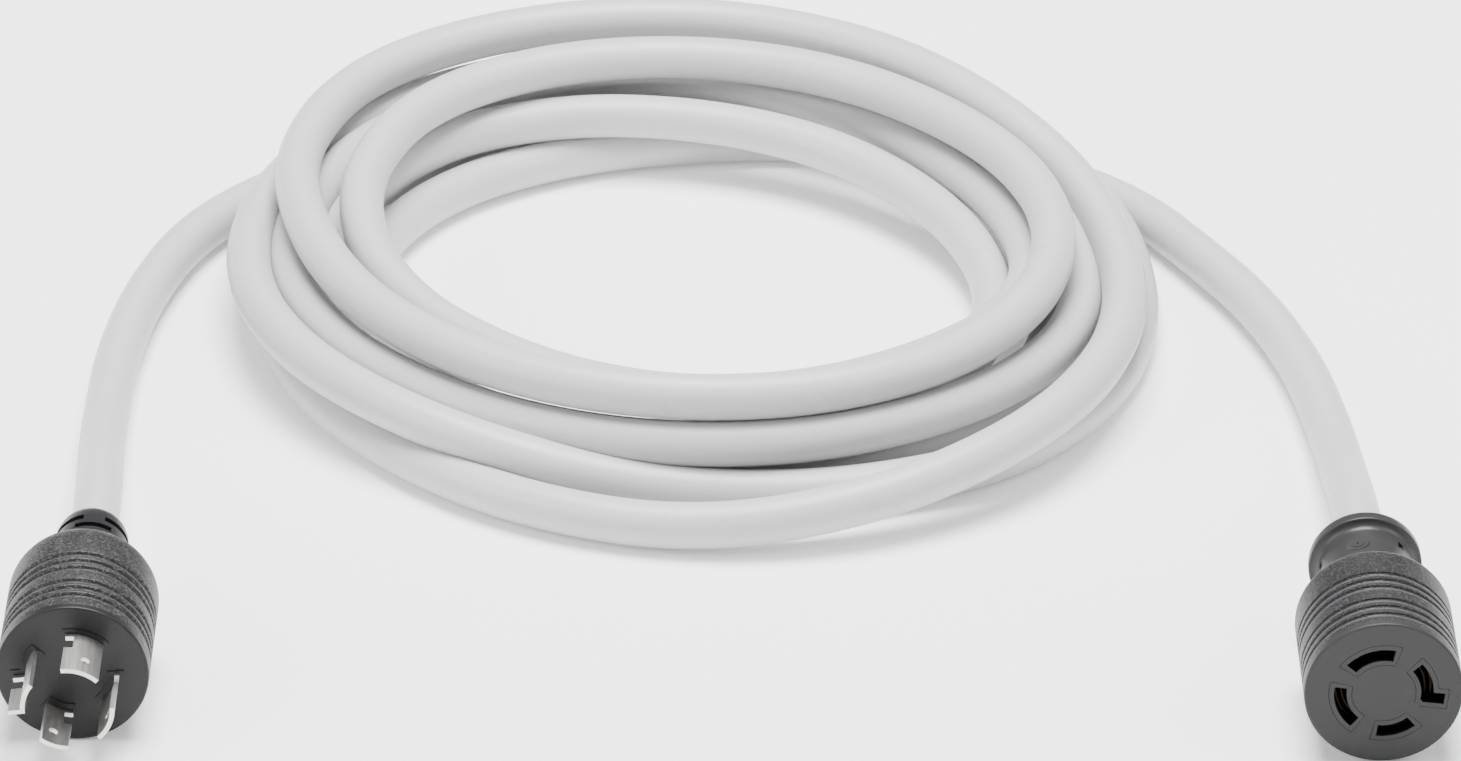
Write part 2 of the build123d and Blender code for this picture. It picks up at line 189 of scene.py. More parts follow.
class Recipe:
    """One finish's node tree, from Object coordinates to a Principled shader."""

    def __init__(self, name: str) -> None:
        """Starts a material with only its coordinates, shader and output.

        Args:
            name: The material's name.
        """
        self.material = bpy.data.materials.new(name)
        self.material.use_nodes = True
        self.tree = self.material.node_tree
        self.tree.nodes.clear()
        self.shader = self.node("ShaderNodeBsdfPrincipled", {}, {})
        self.node("ShaderNodeOutputMaterial", {}, {"Surface": self.shader.outputs[0]})
        self.place = self.node("ShaderNodeTexCoord", {}, {}).outputs["Object"]

    def node(self, kind: str, settings: dict[str, Any], inputs: dict[Any, Any]) -> bpy.types.Node:
        """Adds one node to this finish's tree."""
        return add_node(self.tree, kind, settings, inputs)

    def turned_place(
        self, centre: Point, turn: Point, scale: Point = (1.0, 1.0, 1.0)
    ) -> bpy.types.NodeSocket:
        """Object coordinates measured from a centre, then turned and scaled.

        Args:
            centre: The point that becomes the origin, in metres.
            turn: The angles about X, Y and Z, in degrees.
            scale: How many times finer the result is along each axis.

        Returns:
            The vector socket.
        """
        shifted = self.node("ShaderNodeVectorMath", {"operation": "SUBTRACT"}, {0: self.place, 1: centre})
        angles = tuple(math.radians(angle) for angle in turn)
        inputs = {"Vector": shifted.outputs[0], "Rotation": angles, "Scale": scale}
        return self.node("ShaderNodeMapping", {}, inputs).outputs[0]

    def axis(self, name: str, vector: bpy.types.NodeSocket) -> Field:
        """One component of a vector."""
        split = self.node("ShaderNodeSeparateXYZ", {}, {"Vector": vector})
        return Field(self.tree, split.outputs[name])

    def noise(self, scale: float, detail: float = 2.0, vector: Any = None) -> Field:
        """Smooth noise from 0 to 1.

        Args:
            scale: How many bumps there are to the metre.
            detail: How many finer layers are added.
            vector: The coordinates, or None for plain Object coordinates.

        Returns:
            The noise.
        """
        inputs = {"Vector": vector or self.place, "Scale": scale, "Detail": detail}
        return Field(self.tree, self.node("ShaderNodeTexNoise", {}, inputs).outputs[0])

    def blend(self, factor: Amount, first: Any, second: Any) -> bpy.types.NodeSocket:
        """A colour between two.

        Args:
            factor: 0 for the first colour, and 1 for the second.
            first: A colour, or the socket of one.
            second: A colour, or the socket of one.

        Returns:
            The colour socket.
        """
        ends = [(*end, 1.0) if isinstance(end, tuple) else end for end in (first, second)]
        inputs = {"Factor": factor, 6: ends[0], 7: ends[1]}
        return self.node("ShaderNodeMix", {"data_type": "RGBA"}, inputs).outputs[2]

    def set(self, **inputs: Any) -> None:
        """Sets or links the shader's inputs.

        Args:
            inputs: Values, fields or sockets, each by its input's name with _ for a space.
        """
        for name, value in inputs.items():
            value = (*value, 1.0) if isinstance(value, tuple) else value
            feed(self.tree, self.shader.inputs[name.replace("_", " ")], value)

    def raise_by(self, height: Field, depth: float, strength: float) -> None:
        """Bumps the surface by a height field.

        Args:
            height: How high each place is, from 0 to 1.
            depth: The height in metres that 1 stands for.
            strength: How strongly the bump turns the surface.
        """
        inputs = {"Height": height, "Distance": depth, "Strength": strength}
        bump = self.node("ShaderNodeBump", {}, inputs)
        feed(self.tree, self.shader.inputs["Normal"], bump.outputs[0])


@dataclass(frozen=True)
class CableJacket:
    """Light grey thermoplastic rubber with a soft sheen and faint drawing marks."""

    name: str = "cable_jacket"
    pale: Colour = (0.50, 0.50, 0.505)
    dull: Colour = (0.42, 0.42, 0.425)
    rough: float = 0.42
    smudges: float = 14.0
    scuffs: float = 160.0
    scuff_edge: tuple[float, float] = (0.62, 0.74)
    pores: float = 1500.0
    waves: float = 70.0
    bump_height: float = 0.00022

    def make(self) -> bpy.types.Material:
        """Builds the material.

        Returns:
            The material.
        """
        recipe = Recipe(self.name)
        smudge = recipe.noise(self.smudges, 4.0)
        scuff = recipe.noise(self.scuffs, 3.0).ramp(*self.scuff_edge)
        skin = recipe.noise(self.pores) * 0.12 + recipe.noise(self.waves) * 0.9
        recipe.set(Base_Color=recipe.blend(smudge * 0.6 + scuff * 0.35, self.pale, self.dull))
        recipe.set(Roughness=self.rough + (smudge - 0.5) * 0.14 + scuff * 0.12)
        recipe.raise_by(skin, self.bump_height, 0.5)
        return recipe.material


@dataclass(frozen=True)
class GrainedMoulding:
    """Dark rubber with a leathery grain, grooves and a faint seam, with painted shade in the grooves and
    painted highlights on the grooves' lips and the grain's tips.

    The groove depths are in millimetres from the head's face, and the widths in metres.
    """

    name: str
    centre: Point
    grooves: tuple[float, ...]
    dark: Colour
    light: Colour
    # How bright the grain's raised tips are painted, as a painted highlight.
    grain_tip_highlight: float
    rough: float = 0.46
    grain: float = 1050.0
    grain_edge: tuple[float, float] = (0.50, 0.64)
    coarse: float = 420.0
    dust: float = 35.0
    groove_edge: tuple[float, float] = (0.0006, 0.0012)
    lip_edge: tuple[float, float] = (0.0001, 0.0007)
    lip_offset: float = 1.5
    # How bright the painted highlight on each groove's lip is, and how dark the painted shade inside each
    # groove is.
    lip_shine: float = 1.3
    groove_shade: float = 0.85
    seam_angle: float = 14.0
    seam_half: float = 0.0003
    bump_height: float = 0.00022

    def make(self) -> bpy.types.Material:
        """Builds the material.

        Returns:
            The material.
        """
        recipe = Recipe(self.name)
        spot = recipe.turned_place(self.centre, (0.0, self.seam_angle, 0.0))
        depth = recipe.axis("Y", spot)
        sunk: Amount = 0.0
        lip_highlights: Amount = 0.0
        # Painted shade fills each groove (sunk), and a painted highlight runs along its lip on the face's
        # side.
        for groove in self.grooves:
            sunk = (1.0 - abs(depth - groove * MM).ramp(*self.groove_edge)) + sunk
            lip_highlights = (1.0 - abs(depth - (groove - self.lip_offset) * MM).ramp(*self.lip_edge)) + lip_highlights
        # The real grain, whose raised tips are also painted lighter as a painted highlight.
        grain = recipe.noise(self.grain).ramp(*self.grain_edge)
        seam = 1.0 - abs(recipe.axis("X", spot)).ramp(0.0, self.seam_half)
        dust = recipe.noise(self.dust, 4.0)
        # Painted highlights on the grain's tips and the grooves' lips, plus dust and a lighter seam; the
        # painted shade in the grooves then darkens it all.
        dust_seam_and_highlights = grain * self.grain_tip_highlight + dust * 0.3 + lip_highlights * self.lip_shine + seam * 0.4
        shade = dust_seam_and_highlights * (1.0 - sunk * self.groove_shade)
        recipe.set(Base_Color=recipe.blend(shade, self.dark, self.light))
        recipe.set(Roughness=self.rough + (dust - 0.5) * 0.12, Specular_IOR_Level=0.35)
        height = (grain + recipe.noise(self.coarse) * 0.5) * (1.0 - lip_highlights) + seam * 0.9
        recipe.raise_by(height, self.bump_height, 0.9)
        return recipe.material


@dataclass(frozen=True)
class SmoothMoulding:
    """Plain satin moulded plastic or rubber, with the faintest mottle."""

    name: str
    dark: Colour
    light: Colour
    rough: float
    mottle: float = 55.0
    pores: float = 1900.0
    waves: float = 120.0
    bump_height: float = 0.00003

    def make(self) -> bpy.types.Material:
        """Builds the material.

        Returns:
            The material.
        """
        recipe = Recipe(self.name)
        mottle = recipe.noise(self.mottle, 4.0)
        recipe.set(Base_Color=recipe.blend(mottle, self.dark, self.light))
        recipe.set(Roughness=self.rough + (mottle - 0.5) * 0.1, Specular_IOR_Level=0.3)
        recipe.raise_by(recipe.noise(self.pores) + recipe.noise(self.waves), self.bump_height, 0.6)
        return recipe.material


@dataclass(frozen=True)
class SlotMoulding:
    """The connector face's grey plastic, with painted shade that darkens it with depth inside the slots."""

    name: str
    face_at: float
    grey: Colour = (0.023, 0.023, 0.024)
    mottled: Colour = (0.019, 0.019, 0.020)
    # The painted shade's colour, deep inside the slots.
    black: Colour = (0.002, 0.002, 0.002)
    rough: float = 0.5
    painted_shade_edge: tuple[float, float] = (0.0003, 0.0012)
    mottle: float = 55.0
    pores: float = 1900.0
    bump_height: float = 0.00003

    def make(self) -> bpy.types.Material:
        """Builds the material.

        Returns:
            The material.
        """
        recipe = Recipe(self.name)
        # Painted shade: the colour darkens to black with depth behind the face.
        slot_painted_shade = (recipe.axis("Y", recipe.place) - self.face_at).ramp(*self.painted_shade_edge)
        skin = recipe.blend(recipe.noise(self.mottle, 4.0), self.grey, self.mottled)
        recipe.set(Base_Color=recipe.blend(slot_painted_shade, skin, self.black))
        recipe.set(Roughness=self.rough, Specular_IOR_Level=0.3)
        recipe.raise_by(recipe.noise(self.pores), self.bump_height, 0.5)
        return recipe.material


@dataclass(frozen=True)
class StampedMetal:
    """Sheet metal with fine rolling marks along its length."""

    name: str
    bright: Colour
    dull: Colour
    rough: float
    streaks: float = 1300.0
    stretch: Point = (1.0, 0.06, 1.0)
    stains: float = 90.0
    bump_height: float = 0.00002

    def make(self) -> bpy.types.Material:
        """Builds the material.

        Returns:
            The material.
        """
        recipe = Recipe(self.name)
        streaks = recipe.noise(self.streaks, 3.0, recipe.turned_place(WORLD_MIDDLE, NO_TURN, self.stretch))
        stain = recipe.noise(self.stains, 4.0)
        recipe.set(Base_Color=recipe.blend(stain, self.bright, self.dull), Metallic=1.0)
        recipe.set(Roughness=self.rough + (streaks - 0.5) * 0.16 + (stain - 0.5) * 0.12)
        recipe.raise_by(streaks, self.bump_height, 0.6)
        return recipe.material


@dataclass(frozen=True)
class Insulation:
    """One core's coloured insulation, with faint lengthwise ribs."""

    name: str
    colour: Colour
    shading: float = 0.7
    rough: float = 0.4
    ribs: float = 900.0
    stretch: Point = (1.0, 0.08, 1.0)
    bump_height: float = 0.00004

    def make(self) -> bpy.types.Material:
        """Builds the material.

        Returns:
            The material.
        """
        recipe = Recipe(self.name)
        ribs = recipe.noise(self.ribs, 2.0, recipe.turned_place(WORLD_MIDDLE, NO_TURN, self.stretch))
        shade = tuple(self.shading * part for part in self.colour)
        recipe.set(Base_Color=recipe.blend(ribs, self.colour, shade))
        recipe.set(Roughness=self.rough + (ribs - 0.5) * 0.1)
        recipe.raise_by(ribs, self.bump_height, 0.6)
        return recipe.material


@dataclass(frozen=True)
class BareCopper:
    """Stranded copper, seen as fine slanting wires."""

    name: str = "copper"
    bright: Colour = (0.86, 0.46, 0.28)
    dull: Colour = (0.50, 0.22, 0.12)
    rough: float = 0.42
    slant: Point = (0.0, 0.0, 20.0)
    wires: float = 700.0
    bump_height: float = 0.0001

    def make(self) -> bpy.types.Material:
        """Builds the material.

        Returns:
            The material.
        """
        recipe = Recipe(self.name)
        settings = {"wave_type": "BANDS", "bands_direction": "X"}
        inputs = {
            "Vector": recipe.turned_place(WORLD_MIDDLE, self.slant),
            "Scale": self.wires,
            "Distortion": 1.0,
        }
        strand = Field(recipe.tree, recipe.node("ShaderNodeTexWave", settings, inputs).outputs[1])
        recipe.set(Base_Color=recipe.blend(strand, self.dull, self.bright), Metallic=1.0)
        recipe.set(Roughness=self.rough - strand * 0.12)
        recipe.raise_by(strand, self.bump_height, 0.8)
        return recipe.material


@dataclass(frozen=True)
class PaperFiller:
    """Twisted paper cord that fills the gaps between the cores."""

    name: str = "filler_paper"
    pale: Colour = (0.72, 0.62, 0.46)
    dark: Colour = (0.50, 0.41, 0.28)
    rough: float = 0.86
    twist: Point = (0.0, 0.0, 55.0)
    stretch: Point = (1.0, 0.15, 1.0)
    fibres: float = 1600.0
    bump_height: float = 0.0001

    def make(self) -> bpy.types.Material:
        """Builds the material.

        Returns:
            The material.
        """
        recipe = Recipe(self.name)
        fibres = recipe.noise(self.fibres, 4.0, recipe.turned_place(WORLD_MIDDLE, self.twist, self.stretch))
        recipe.set(Base_Color=recipe.blend(fibres, self.pale, self.dark), Roughness=self.rough)
        recipe.raise_by(fibres, self.bump_height, 0.8)
        return recipe.material


@dataclass(frozen=True)
class PaleFloor:
    """A plain, almost white floor."""

    name: str = "pale_floor"
    tone: Colour = (0.96, 0.96, 0.96)
    rough: float = 0.8
    glow: float = 0.25

    def make(self) -> bpy.types.Material:
        """Builds the material.

        Returns:
            The material.
        """
        recipe = Recipe(self.name)
        recipe.set(Base_Color=self.tone, Roughness=self.rough)
        recipe.set(Emission_Color=self.tone, Emission_Strength=self.glow)
        return recipe.material


def dress(nodes: Nodes, names: Iterable[str], finish: bpy.types.Material) -> None:
    """Gives CAD nodes a finish.

    Args:
        nodes: The frame's nodes by name.
        names: The nodes to dress.
        finish: Their material.
    """
    for name in names:
        piece = nodes[name]
        if not piece.material_slots:
            piece.data.materials.append(finish)
        for place in piece.material_slots:
            place.material = finish
        log.info("dressed %s in %s", name, finish.name)


def put_in_scene(name: str, mesh: bpy.types.Mesh) -> bpy.types.Object:
    """Makes an object of a mesh, and links it to the scene.

    Args:
        name: The object's name.
        mesh: Its mesh.

    Returns:
        The object.
    """
    piece = bpy.data.objects.new(name, mesh)
    bpy.context.scene.collection.objects.link(piece)
    return piece


def to_piece(name: str, shape: bmesh.types.BMesh, finish: bpy.types.Material) -> bpy.types.Object:
    """Turns a finished bmesh into a piece, and frees it.

    Args:
        name: The piece's name.
        shape: Its shape.
        finish: Its material.

    Returns:
        The piece.
    """
    mesh = bpy.data.meshes.new(name)
    shape.to_mesh(mesh)
    shape.free()
    mesh.materials.append(finish)
    log.info("%s: %d faces", name, len(mesh.polygons))
    return put_in_scene(name, mesh)


def smooth(mesh: bpy.types.Mesh) -> None:
    """Shades every face of a mesh smooth."""
    mesh.polygons.foreach_set("use_smooth", [True] * len(mesh.polygons))


def head_place(face: Point) -> Matrix:
    """A head's own frame: its face's middle, with Z pointing out of the face."""
    return Matrix.Translation(face) @ Matrix.Rotation(math.pi / 2, 4, "X")


@dataclass(frozen=True)
class Pocket:
    """A pocket in a turned piece: its depths and floor radius in millimetres, its angles in degrees."""

    start: float
    end: float
    first: float
    last: float
    floor: float
    least_depth: float = 1.0

    def holds(self, place: Vector) -> bool:
        """Whether a point lies over the pocket.

        Args:
            place: A point of the piece's skin, in the head's own frame.

        Returns:
            True if it is on the outer skin, between the pocket's depths and angles.
        """
        depth = -place.z / MM
        angle = (math.degrees(math.atan2(place.y, place.x)) - self.first) % FULL_CIRCLE
        outside = place.xy.length / MM > self.floor + self.least_depth
        return outside and self.start < depth < self.end and angle < self.last - self.first


@dataclass(frozen=True)
class Turned:
    """A round piece: the corners of its section, each with a depth, a radius and a rounding."""

    name: str
    corners: tuple[Point, ...]
    pockets: tuple[Pocket, ...] = ()
    steps: int = 120
    small_rounding: float = 2.0
    small_steps: int = 4
    large_steps: int = 12
    merge_distance: float = 0.00001

    def draw_section(self, shape: bmesh.types.BMesh) -> None:
        """Draws the section's closed outline and rounds its corners.

        Args:
            shape: The empty bmesh to draw in.
        """
        section = [shape.verts.new((radius * MM, 0.0, -depth * MM)) for depth, radius, _ in self.corners]
        for start, end in zip(section, section[1:] + section[:1]):
            shape.edges.new((start, end))
        for rounding in sorted({corner[2] for corner in self.corners} - {0.0}):
            bmesh.ops.bevel(
                shape,
                geom=[vert for vert, corner in zip(section, self.corners) if corner[2] == rounding],
                offset=rounding * MM,
                segments=self.small_steps if rounding < self.small_rounding else self.large_steps,
                profile=0.5,
                affect="VERTICES",
                material=-1,
            )

    def sink(self, shape: bmesh.types.BMesh, pocket: Pocket) -> None:
        """Sinks one pocket into the turned shape.

        Args:
            shape: The turned shape, in the head's own frame.
            pocket: The pocket.
        """
        lid = [side for side in shape.faces if pocket.holds(side.calc_center_median())]
        sunk = bmesh.ops.extrude_face_region(shape, geom=lid)["geom"]
        bmesh.ops.delete(shape, geom=lid, context="FACES_ONLY")
        for part in sunk:
            if isinstance(part, bmesh.types.BMVert):
                part.co.xy = part.co.xy.normalized() * pocket.floor * MM

    def build(self, face: Point, finish: bpy.types.Material, rides: Rides) -> bpy.types.Object:
        """Turns the piece and puts it on its head.

        Args:
            face: The middle of the head's face.
            finish: The piece's material.
            rides: The body that it rides on.

        Returns:
            The piece.
        """
        shape = bmesh.new()
        self.draw_section(shape)
        bmesh.ops.spin(
            shape,
            geom=shape.verts[:] + shape.edges[:],
            cent=(0.0, 0.0, 0.0),
            axis=(0.0, 0.0, 1.0),
            angle=math.tau,
            steps=self.steps,
            use_merge=True,
        )
        bmesh.ops.remove_doubles(shape, verts=shape.verts, dist=self.merge_distance)
        for pocket in self.pockets:
            self.sink(shape, pocket)
        bmesh.ops.recalc_face_normals(shape, faces=shape.faces)
        bmesh.ops.transform(shape, matrix=head_place(face), verts=shape.verts)
        piece = to_piece(self.name, shape, finish)
        smooth(piece.data)
        piece.data.set_sharp_from_angle(angle=math.radians(SHARP_ANGLE))
        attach(piece, rides.value)
        return piece


@dataclass(frozen=True)
class Groove:
    """The section of one finger groove, in millimetres."""

    mouth_half: float = 1.5
    floor_half: float = 0.8
    sunk: float = 1.3
    rounding: float = 0.45

    def corners(self, radius: float, depth: float) -> tuple[Point, ...]:
        """The groove's corners in a turned piece's side.

        Args:
            radius: The side's radius.
            depth: The depth of the groove's middle from the face.

        Returns:
            Four corners, from the face's end on.
        """
        return (
            (depth - self.mouth_half, radius, self.rounding),
            (depth - self.floor_half, radius - self.sunk, self.rounding),
            (depth + self.floor_half, radius - self.sunk, self.rounding),
            (depth + self.mouth_half, radius, self.rounding),
        )


@dataclass
class CableRoute:
    """The cable's way, from the plug's mouth round the coil to the connector's mouth.

    The coil's turns are told by stations, eight to a turn and clockwise from the back,
    each with the cable's distance from the coil's centre and its height, in millimetres.
    The leads are told by their control points, in metres.
    """

    centre: tuple[float, float] = (-0.012, 0.068)
    stations_per_turn: int = 8
    points_per_station: int = 2
    curve_steps: int = 12
    floor_height: float = 8.8
    stations: tuple[Station, ...] = (
        (186, 8.8), (179, 22), (170.6, 8.8), (166, 8.8),
        (143.5, 8.8), (158, 26), (174, 26), (187, 26),
        (185, 26), (151, 33), (150, 20), (145.5, 25),
        (137, 25), (138.5, 25), (157, 25), (170.5, 27.5),
        (167.5, 26), (134, 26), (130.5, 25), (116, 29),
        (112, 31), (108, 32), (126.5, 36), (154.5, 43.5),
        (151.5, 43.7), (137.5, 43.7), (138, 43), (138.5, 42),
        (131.5, 42), (131.5, 42), (148.5, 43), (190.5, 43.7),
        (188, 43.7), (159.5, 43.2), (164, 28), (177, 25),
        (172.5, 8.8), (158.5, 8.8), (164, 8.8), (167, 8.8),
        (168, 8.8), (160, 22), (139, 8.8), (139, 8.8),
        (124, 8.8), (132.5, 8.8), (147.5, 8.8), (155.5, 24),
        (132, 25), (116.5, 20), (116, 11), (108, 8.8),
        (106, 8.8), (115, 8.8), (131, 8.8), (141.5, 8.8),
        (144, 8.8), (170, 8.8),
    )
    plug_lead: tuple[Point, ...] = (
        (-0.231, -0.1418, 0.027),
        (-0.231, -0.120, 0.027),
        (-0.232, -0.098, 0.024),
        (-0.2345, -0.062, 0.016),
        (-0.236, -0.018, 0.010),
        (-0.235, 0.032, 0.0088),
        (-0.228, 0.084, 0.0088),
        (-0.212, 0.134, 0.0088),
        (-0.184, 0.170, 0.0088),
        (-0.152, 0.196, 0.0088),
        (-0.098, 0.232, 0.0088),
    )
    connector_lead: tuple[Point, ...] = (
        (0.143, 0.174, 0.0088),
        (0.167, 0.148, 0.0088),
        (0.186, 0.113, 0.0088),
        (0.205, 0.075, 0.0088),
        (0.220, 0.026, 0.0088),
        (0.227, -0.025, 0.0095),
        (0.2295, -0.075, 0.015),
        (0.230, -0.112, 0.0235),
        (0.230, -0.137, 0.028),
        (0.230, -0.1608, 0.028),
    )

    def between(self, station: int, share: float) -> Station:
        """The cable's distance and height part of the way from one station to the next.

        Args:
            station: The station before.
            share: How far on to the next one, from 0 to 1.

        Returns:
            The distance and height, in millimetres, on a smooth line through the stations.
        """
        last = len(self.stations) - 1
        near = [self.stations[min(max(station + step, 0), last)] for step in (-1, 0, 1, 2)]
        found = []
        for before, start, end, after in zip(*near):
            leaving = (end - before) / 2
            arriving = (after - start) / 2
            cubic = 2 * start - 2 * end + leaving + arriving
            square = 3 * end - 3 * start - 2 * leaving - arriving
            found.append(start + share * (leaving + share * (square + share * cubic)))
        return found[0], max(found[1], self.floor_height)

    def turn_points(self) -> list[Vector]:
        """The coil's control points, worked out from its stations.

        A quadratic spline cuts the corners of its control points, so they lie a little
        outside the turns.

        Returns:
            The control points, in metres.
        """
        per_turn = self.stations_per_turn * self.points_per_station
        spread = 1 / (0.75 + 0.25 * math.cos(math.tau / per_turn))
        points = []
        for step in range((len(self.stations) - 1) * self.points_per_station + 1):
            station, part = divmod(step, self.points_per_station)
            distance, height = self.between(station, part / self.points_per_station)
            angle = math.pi / 2 - math.tau * step / per_turn
            reach = distance * spread * MM
            across = self.centre[0] + reach * math.cos(angle)
            along = self.centre[1] + reach * math.sin(angle)
            points.append(Vector((across, along, height * MM)))
        return points

    def path(self) -> list[Vector]:
        """The whole cable's centreline, read from one smooth spline.

        Returns:
            The centreline's points, from the plug to the connector.
        """
        points = [*self.plug_lead, *self.turn_points(), *self.connector_lead]
        curve = bpy.data.curves.new("cable_route", "CURVE")
        curve.dimensions = "3D"
        curve.resolution_u = self.curve_steps
        spline = curve.splines.new("NURBS")
        spline.points.add(len(points) - 1)
        for knot, point in zip(spline.points, points):
            knot.co = (*point, 1.0)
        spline.order_u = 3
        spline.use_endpoint_u = True
        holder = bpy.data.objects.new("cable_route", curve)
        line = bpy.data.meshes.new_from_object(holder)
        path = [vertex.co.copy() for vertex in line.vertices]
        bpy.data.objects.remove(holder)
        bpy.data.meshes.remove(line)
        return path


@dataclass(frozen=True)
class Run:
    """One length of the cable: its name, its way, how it lies and its CAD node."""

    name: str
    path: list[Vector]
    lay: str
    node: str


@dataclass
class Cable:
    """The jacketed cable: the coil and the two leads, cut near where the leads leave the coil."""

    radius: float = 0.00875
    ring_steps: int = 6
    plug_cut: Point = (-0.150, 0.197, 0.009)
    connector_cut: Point = (0.112, 0.190, 0.009)
    plug_bend: tuple[Point, Point] = ((-0.190, 0.165, 0.009), (-0.225, 0.095, 0.009))
    connector_bend: tuple[Point, Point] = ((0.167, 0.146, 0.009), (0.207, 0.066, 0.009))

    def tube(self, run: Run, finish: bpy.types.Material) -> bpy.types.Object:
        """A length of cable along its path.

        Args:
            run: The length.
            finish: The jacket's material.

        Returns:
            The tube, as a mesh piece.
        """
        curve = bpy.data.curves.new(run.name, "CURVE")
        curve.dimensions = "3D"
        curve.bevel_depth = self.radius
        curve.bevel_resolution = self.ring_steps
        curve.use_fill_caps = True
        spline = curve.splines.new("POLY")
        spline.points.add(len(run.path) - 1)
        for knot, point in zip(spline.points, run.path):
            knot.co = (*point, 1.0)
        holder = bpy.data.objects.new(run.name, curve)
        mesh = bpy.data.meshes.new_from_object(holder)
        bpy.data.objects.remove(holder)
        mesh.name = run.name
        mesh.materials.clear()
        mesh.materials.append(finish)
        smooth(mesh)
        return put_in_scene(run.name, mesh)

    def declare(self, piece: bpy.types.Object, run: Run) -> None:
        """Hides the CAD node that a length of cable stands for, and logs how long the length is.

        Args:
            piece: The length's tube.
            run: The length.
        """
        length = sum((after - before).length for before, after in zip(run.path, run.path[1:]))
        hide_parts(run.node)
        log.info("%s: %.3f m of cable", piece.name, length)

    def nearest(self, path: list[Vector], places: range, point: Point) -> int:
        """The number of the path's point that is nearest to a point, among some of them."""
        return min(places, key=lambda number: (path[number] - Vector(point)).length)

    def build(self, path: list[Vector], finish: bpy.types.Material) -> None:
        """Makes the three lengths, and ties the coil to its body.

        Args:
            path: The whole cable's centreline, from the plug to the connector.
            finish: The jacket's material.
        """
        half = len(path) // 2
        first = self.nearest(path, range(half), self.plug_cut)
        last = self.nearest(path, range(half, len(path)), self.connector_cut)
        runs = (
            Run("coiled_cable", path[first : last + 1], "coiled", "cord_coil"),
            Run("plug_lead_cable", path[: first + 1], "loose", "plug_lead"),
            Run("connector_lead_cable", path[last:][::-1], "loose", "connector_lead"),
        )
        tubes = []
        for run in runs:
            tubes.append(self.tube(run, finish))
            self.declare(tubes[-1], run)
        coil, plug_lead, connector_lead = tubes
        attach(coil, Rides.COIL.value)
        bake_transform(plug_lead)
        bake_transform(connector_lead)


@dataclass(frozen=True)
class SoftLight:
    """One square soft light: its name, its place, its side in metres and its strength in watts."""

    name: str
    at: Point
    size: float
    power: float


@dataclass
class Studio:
    """The floor, the soft lights and the camera."""

    floor_half: float = 6.0
    floor_drop: float = 0.0006
    target: Point = (0.0009, 0.02634, 0.0)
    camera_at: Point = (0.0009, -2.5222, 1.3838)
    lens: float = 185.5
    sensor: float = 36.0
    farthest: float = 50.0
    sky: float = 0.34
    lights: tuple[SoftLight, ...] = (
        SoftLight("top_softbox", (0.05, 0.25, 2.2), 1.3, 175.0),
        SoftLight("left_softbox", (-1.9, -0.9, 1.3), 1.2, 36.0),
        SoftLight("right_softbox", (1.9, -0.6, 1.5), 1.2, 27.0),
    )

    def aim(self, thing: bpy.types.Object) -> None:
        """Points a light or the camera at the target."""
        away = thing.location - Vector(self.target)
        thing.rotation_euler = away.to_track_quat("Z", "Y").to_euler()

    def lay_floor(self) -> None:
        """Lays the plain pale floor, just under the cable."""
        sheet = bmesh.new()
        bmesh.ops.create_grid(sheet, x_segments=1, y_segments=1, size=self.floor_half)
        bmesh.ops.translate(sheet, verts=sheet.verts, vec=(0.0, 0.0, -self.floor_drop))
        to_piece("studio_floor", sheet, PaleFloor().make())

    def hang_light(self, light: SoftLight) -> None:
        """Hangs one soft light.

        Args:
            light: The light.
        """
        data = bpy.data.lights.new(light.name, "AREA")
        data.size = light.size
        data.energy = light.power
        lamp = bpy.data.objects.new(light.name, data)
        lamp.location = light.at
        bpy.context.scene.collection.objects.link(lamp)
        self.aim(lamp)

    def light_sky(self) -> None:
        """Gives the scene an even white sky."""
        world = bpy.data.worlds.new("studio_sky")
        world.use_nodes = True
        sky = world.node_tree.nodes["Background"]
        sky.inputs["Color"].default_value = (1.0, 1.0, 1.0, 1.0)
        sky.inputs["Strength"].default_value = self.sky
        bpy.context.scene.world = world

    def set_camera(self) -> None:
        """Sets up the camera."""
        data = bpy.data.cameras.new("camera")
        data.lens = self.lens
        data.sensor_width = self.sensor
        data.clip_end = self.farthest
        camera = bpy.data.objects.new("camera", data)
        camera.location = self.camera_at
        bpy.context.scene.collection.objects.link(camera)
        bpy.context.scene.camera = camera
        self.aim(camera)

    def build(self) -> None:
        """Sets the whole studio up."""
        self.lay_floor()
        for light in self.lights:
            self.hang_light(light)
        self.light_sky()
        self.set_camera()


